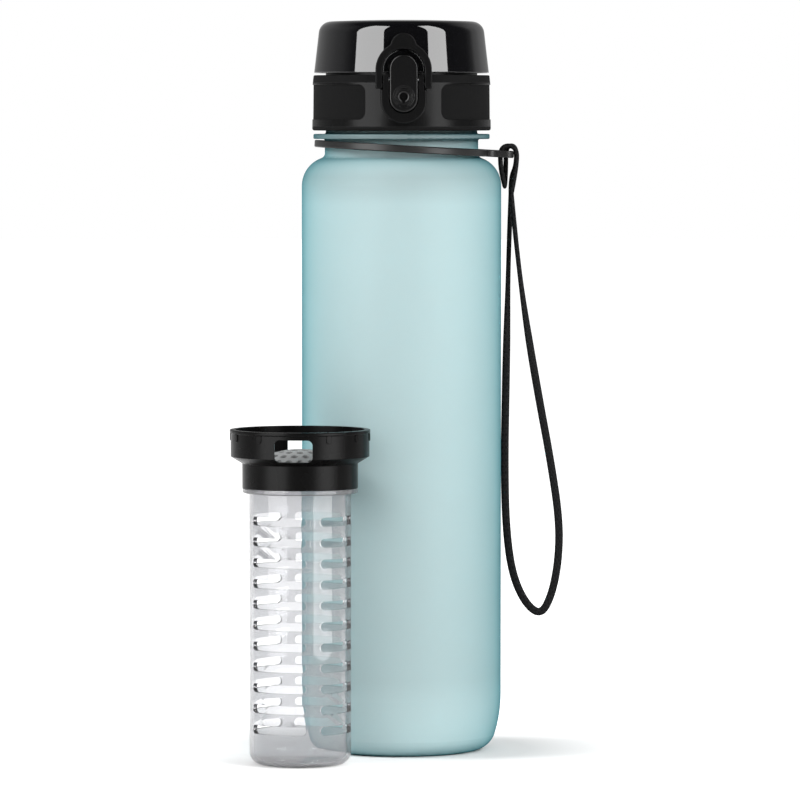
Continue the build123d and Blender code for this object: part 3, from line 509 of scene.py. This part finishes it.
tree.links.new(flat_part.outputs["Vector"], from_axis.inputs[0])
tree.links.new(where, split.inputs["Vector"])
sunk = graded(tree, from_axis.outputs["Value"], panel_r, sleeve_r, etched_roughness, collar_roughness)
foot = graded(tree, split.outputs["Z"], foot_band_low, foot_band_high, etched_roughness, 0)
matt = combined(tree, "MAXIMUM", sunk, foot)
tree.links.new(matt, tree.nodes["Principled BSDF"].inputs["Roughness"])
dress("cap_collar", collar_skin)

# Hinge and latch steel. Drawn stainless pins and spring wire, with fine marks along their length.
# The hinge's pin and coil are held by the collar's ears, and the latch's by the boss in front.
steel = bpy.data.materials.new("drawn_steel")
steel.use_nodes = True
tree = steel.node_tree
skin = tree.nodes["Principled BSDF"]
skin.inputs["Base Color"].default_value = (0.5, 0.5, 0.51, 1)
skin.inputs["Metallic"].default_value = 1.0
marks_across = 4000
marks_along = 60
bright_roughness = 0.2
dull_roughness = 0.38
stretch = tree.nodes.new("ShaderNodeMapping")
stretch.inputs["Scale"].default_value = (marks_along, marks_across, marks_across)
where = tree.nodes.new("ShaderNodeTexCoord").outputs["Object"]
tree.links.new(where, stretch.inputs["Vector"])
drawn = clouded(tree, stretch.outputs["Vector"], scale=1.0)
worn = graded(tree, drawn, 0, 1, bright_roughness, dull_roughness)
tree.links.new(worn, skin.inputs["Roughness"])
for node in ("hinge_pin", "hinge_spring", "latch_pin", "latch_spring"):
    dress(node, steel)

# Latch button and lock bail. Satin black mouldings: the button rocks on the latch pin, and the
# bail's feet turn on stubs in the boss. The button's round dimple is polished.
button_roughness = 0.22
dimple_roughness = 0.1
dimple_height = 0.2558
dimple_r = 0.0024
dimple_rim_r = 0.0025
button_skin = moulded(
    "button_black",
    colour=(0.003, 0.003, 0.0031),
    roughness=button_roughness,
    grain=2600,
    grain_depth=0.000002,
    shine=0.2,
    edge=moulded_edge,
)
tree = button_skin.node_tree
where = tree.nodes.new("ShaderNodeTexCoord").outputs["Object"]
centred = tree.nodes.new("ShaderNodeMapping")
centred.inputs["Location"].default_value = (0, 0, -dimple_height)
centred.inputs["Scale"].default_value = (1, 0, 1)
from_middle = tree.nodes.new("ShaderNodeVectorMath")
from_middle.operation = "LENGTH"
tree.links.new(where, centred.inputs["Vector"])
tree.links.new(centred.outputs["Vector"], from_middle.inputs[0])
middle = from_middle.outputs["Value"]
bowl = graded(tree, middle, dimple_r, dimple_rim_r, dimple_roughness, button_roughness)
tree.links.new(bowl, tree.nodes["Principled BSDF"].inputs["Roughness"])
dress("latch_button", button_skin)
bail_skin = moulded(
    "bail_black",
    colour=(0.0045, 0.0045, 0.0046),
    roughness=0.28,
    grain=2600,
    grain_depth=0.000004,
    shine=0.06,
    edge=moulded_edge,
)
dress("lock_bail", bail_skin)

# Flip lid. The tapered cover over the spout, moulded in black from a mirror-polished mould. It
# turns on the hinge pin at the back, and the button's hook holds it shut in front.
polished = moulded(
    "polished_black",
    colour=(0.0025, 0.0025, 0.003),
    roughness=0.03,
    grain=300,
    grain_depth=0.0000008,
    shine=0.5,
    edge=moulded_edge,
)
dress("flip_lid", polished)

# Strap band. A tough black ring with a tab and an eye for the cord, moulded in one. It lies loose
# round the neck under the support flange, and handling has dulled it.
band_skin = moulded(
    "band_black",
    colour=(0.008, 0.008, 0.008),
    roughness=0.36,
    grain=1800,
    grain_depth=0.000006,
    shine=0.2,
)
dress("strap_band", band_skin)

# Wrist cord. Flat black braid, 3.1 by 1.9 mm, edge on where it leaves the band and flat on lower
# down. Its folded end is hitched twice through the eye of the band's tab and over its bar.
braid_width = 0.0031
braid_thick = 0.0019
braid_girth = 0.0078
braid_sides = 20
lean_degrees = 38
ribs_scale = 160
rib_depth = 0.0002
hollow_shade_black = (0.0015, 0.0015, 0.0018)
ridge_black = (0.007, 0.007, 0.0075)
braid = bpy.data.materials.new("black_braid")
braid.use_nodes = True
tree = braid.node_tree
skin = tree.nodes["Principled BSDF"]
skin.inputs["Roughness"].default_value = 0.72
skin.inputs["Specular IOR Level"].default_value = 0.06
skin.inputs["Sheen Weight"].default_value = 0.015
skin.inputs["Sheen Roughness"].default_value = 0.5
along = tree.nodes.new("ShaderNodeUVMap")
along.uv_map = "along"
strands = []
for lean in (1, -1):
    turned = tree.nodes.new("ShaderNodeMapping")
    turned.inputs["Rotation"].default_value = (0, 0, math.radians(lean_degrees * lean))
    rib = tree.nodes.new("ShaderNodeTexWave")
    rib.inputs["Scale"].default_value = ribs_scale
    rib.inputs["Distortion"].default_value = 0.4
    tree.links.new(along.outputs["UV"], turned.inputs["Vector"])
    tree.links.new(turned.outputs["Vector"], rib.inputs["Vector"])
    strands.append(rib.outputs["Fac"])
weave = combined(tree, "MAXIMUM", *strands)
relief = tree.nodes.new("ShaderNodeBump")
relief.inputs["Distance"].default_value = rib_depth
tree.links.new(weave, relief.inputs["Height"])
tree.links.new(relief.outputs["Normal"], skin.inputs["Normal"])
# The hollows between the strands are painted darker than the ridges, as painted shade in the weave.
tree.links.new(toned(tree, weave, [(0, hollow_shade_black), (1, ridge_black)]), skin.inputs["Base Color"])


def route_points(name, points):
    """The smooth line through a cord's route, as Blender's own spline gives it."""
    curve = bpy.data.curves.new(name, "CURVE")
    curve.dimensions = "3D"
    curve.resolution_u = 12
    spline = curve.splines.new("NURBS")
    spline.points.add(len(points) - 1)
    for point, place in zip(spline.points, points):
        point.co = (*place, 1)
    spline.order_u = 3
    spline.use_endpoint_u = True
    holder = bpy.data.objects.new(name, curve)
    line = bpy.data.meshes.new_from_object(holder)
    found = [vert.co.copy() for vert in line.vertices]
    bpy.data.objects.remove(holder)
    bpy.data.curves.remove(curve)
    bpy.data.meshes.remove(line)
    return found


def flat_braid(name, line, facing):
    """A closed flat tube along a line; facing gives the way its flat side looks at each share."""
    lengths = [0.0]
    for before, here in zip(line, line[1:]):
        lengths.append(lengths[-1] + (here - before).length)
    bm = bmesh.new()
    uv = bm.loops.layers.uv.new("along")
    rings = []
    for number, here in enumerate(line):
        ahead = (line[min(number + 1, len(line) - 1)] - line[max(number - 1, 0)]).normalized()
        flat = facing(lengths[number] / lengths[-1], here)
        flat = (flat - ahead * flat.dot(ahead)).normalized()
        side = ahead.cross(flat)
        turn = Matrix((side, flat, ahead)).transposed().to_4x4()
        turn.translation = here
        turn = turn @ Matrix.Diagonal((braid_width / 2, braid_thick / 2, 1, 1))
        ring = bmesh.ops.create_circle(bm, segments=braid_sides, radius=1.0, matrix=turn)
        rings.append(ring["verts"])
    for row, (first, second) in enumerate(zip(rings, rings[1:])):
        for near in range(braid_sides):
            far = (near + 1) % braid_sides
            face = bm.faces.new((first[near], first[far], second[far], second[near]))
            face.smooth = True
            runs = (lengths[row], lengths[row], lengths[row + 1], lengths[row + 1])
            rounds = (near, near + 1, near + 1, near)
            for corner, run, round_ in zip(face.loops, runs, rounds):
                corner[uv].uv = (run, round_ / braid_sides * braid_girth)
    bm.faces.new(list(reversed(rings[0])))
    bm.faces.new(rings[-1])
    bmesh.ops.recalc_face_normals(bm, faces=bm.faces[:])
    mesh = bpy.data.meshes.new(name)
    bm.to_mesh(mesh)
    bm.free()
    mesh.materials.append(braid)
    cord = bpy.data.objects.new(name, mesh)
    scene.collection.objects.link(cord)
    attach(cord, "loop")
    return cord


loop_route = [
    (0.0429, 0.0022, 0.21795),
    (0.0421, 0.0020, 0.19745),
    (0.0415, 0.0016, 0.17045),
    (0.0409, 0.0012, 0.14145),
    (0.04045, 0.0009, 0.11345),
    (0.0409, 0.0006, 0.08845),
    (0.0432, 0.0003, 0.06945),
    (0.0483, 0.0001, 0.05745),
    (0.0546, 0.0000, 0.05225),
    (0.0589, -0.0001, 0.05995),
    (0.0616, -0.0004, 0.07345),
    (0.0620, -0.0008, 0.08945),
    (0.0586, -0.0012, 0.11245),
    (0.0536, -0.0016, 0.13895),
    (0.0489, -0.0019, 0.16645),
    (0.0452, -0.0021, 0.19395),
    (0.0429, -0.0022, 0.21795),
]
loop_line = route_points("loop_route", loop_route)
off_level = 0.0001
twist_top = 0.2
twist_run = 0.06


def loop_facing(share, here):
    """Edge on at both ends, turned flat towards the front lower down."""
    low = min(1.0, max(0.0, (twist_top - here.z) / twist_run))
    turn = math.radians(90) * (1 - low * low * (3 - 2 * low))
    return Vector((math.sin(turn), -math.cos(turn), off_level))


wrist_loop = flat_braid("wrist_loop", loop_line, loop_facing)
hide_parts("strap_cord")

hitch_route = [
    (0.0429, 0.0022, 0.21795),
    (0.0428, 0.0020, 0.2240),
    (0.0450, 0.0020, 0.2290),
    (0.0450, 0.0020, 0.2366),
    (0.0409, 0.0020, 0.2366),
    (0.0409, 0.0020, 0.2284),
    (0.0406, 0.0020, 0.2215),
    (0.0402, -0.0020, 0.2212),
    (0.0386, -0.0020, 0.2284),
    (0.0386, -0.0020, 0.2366),
    (0.0450, -0.0020, 0.2366),
    (0.0450, -0.0020, 0.2284),
    (0.0429, -0.0022, 0.21795),
]
hitch_line = route_points("hitch_route", hitch_route)
bar_middle = (0.043, 0.2332)
inner_legs = (0.28, 0.72)


def hitch_facing(share, here):
    """Flat side against the bar all the way round it, and sideways on the legs below."""
    bar_x, bar_z = bar_middle
    if here.z > bar_z:
        return Vector((here.x - bar_x, 0, here.z - bar_z))
    return Vector((-1 if inner_legs[0] < share < inner_legs[1] else 1, 0, off_level))


wrist_hitch = flat_braid("wrist_hitch", hitch_line, hitch_facing)
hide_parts("strap_hitch")

# Infuser basket. A cup for cut fruit with rows of slots, moulded in clear polished copolyester with
# a smoky tinge and a trace of milk. Its collar goes into the connector's ring.
clear_skin = moulded(
    "clear_plastic",
    colour=(0.955, 0.96, 0.97),
    roughness=0.02,
    grain=120,
    grain_depth=0.000002,
    mottle=0.003,
    shine=0.5,
)
tree = clear_skin.node_tree
skin = tree.nodes["Principled BSDF"]
skin.inputs["Transmission Weight"].default_value = 0.92
skin.inputs["IOR"].default_value = 1.5
smoke = tree.nodes.new("ShaderNodeVolumeAbsorption")
smoke.inputs["Color"].default_value = (0.5, 0.5, 0.52, 1)
smoke.inputs["Density"].default_value = 480
tree.links.new(smoke.outputs["Volume"], tree.nodes["Material Output"].inputs["Volume"])
dress("infuser_basket", clear_skin)

# Infuser connector. One moulding in semi-gloss black polypropylene: a ring over the basket's
# collar, a cone, and a barrel with two windows, whose ribbed rim sits in the cap's insert in use.
connector_skin = moulded(
    "connector_black",
    colour=(0.0022, 0.0021, 0.0021),
    roughness=0.27,
    grain=2200,
    grain_depth=0.000004,
    shine=0.055,
    edge=moulded_edge,
)
dress("infuser_connector", connector_skin)

# Strainer. The domed disc with holes that keeps the fruit in the basket, a dull light grey
# moulding. It lies on the connector's shelf and shows through its windows.
strainer_skin = moulded(
    "strainer_grey",
    colour=(0.22, 0.225, 0.225),
    roughness=0.5,
    grain=1800,
    grain_depth=0.00001,
    mottle=0.04,
)
dress("infuser_strainer", strainer_skin)
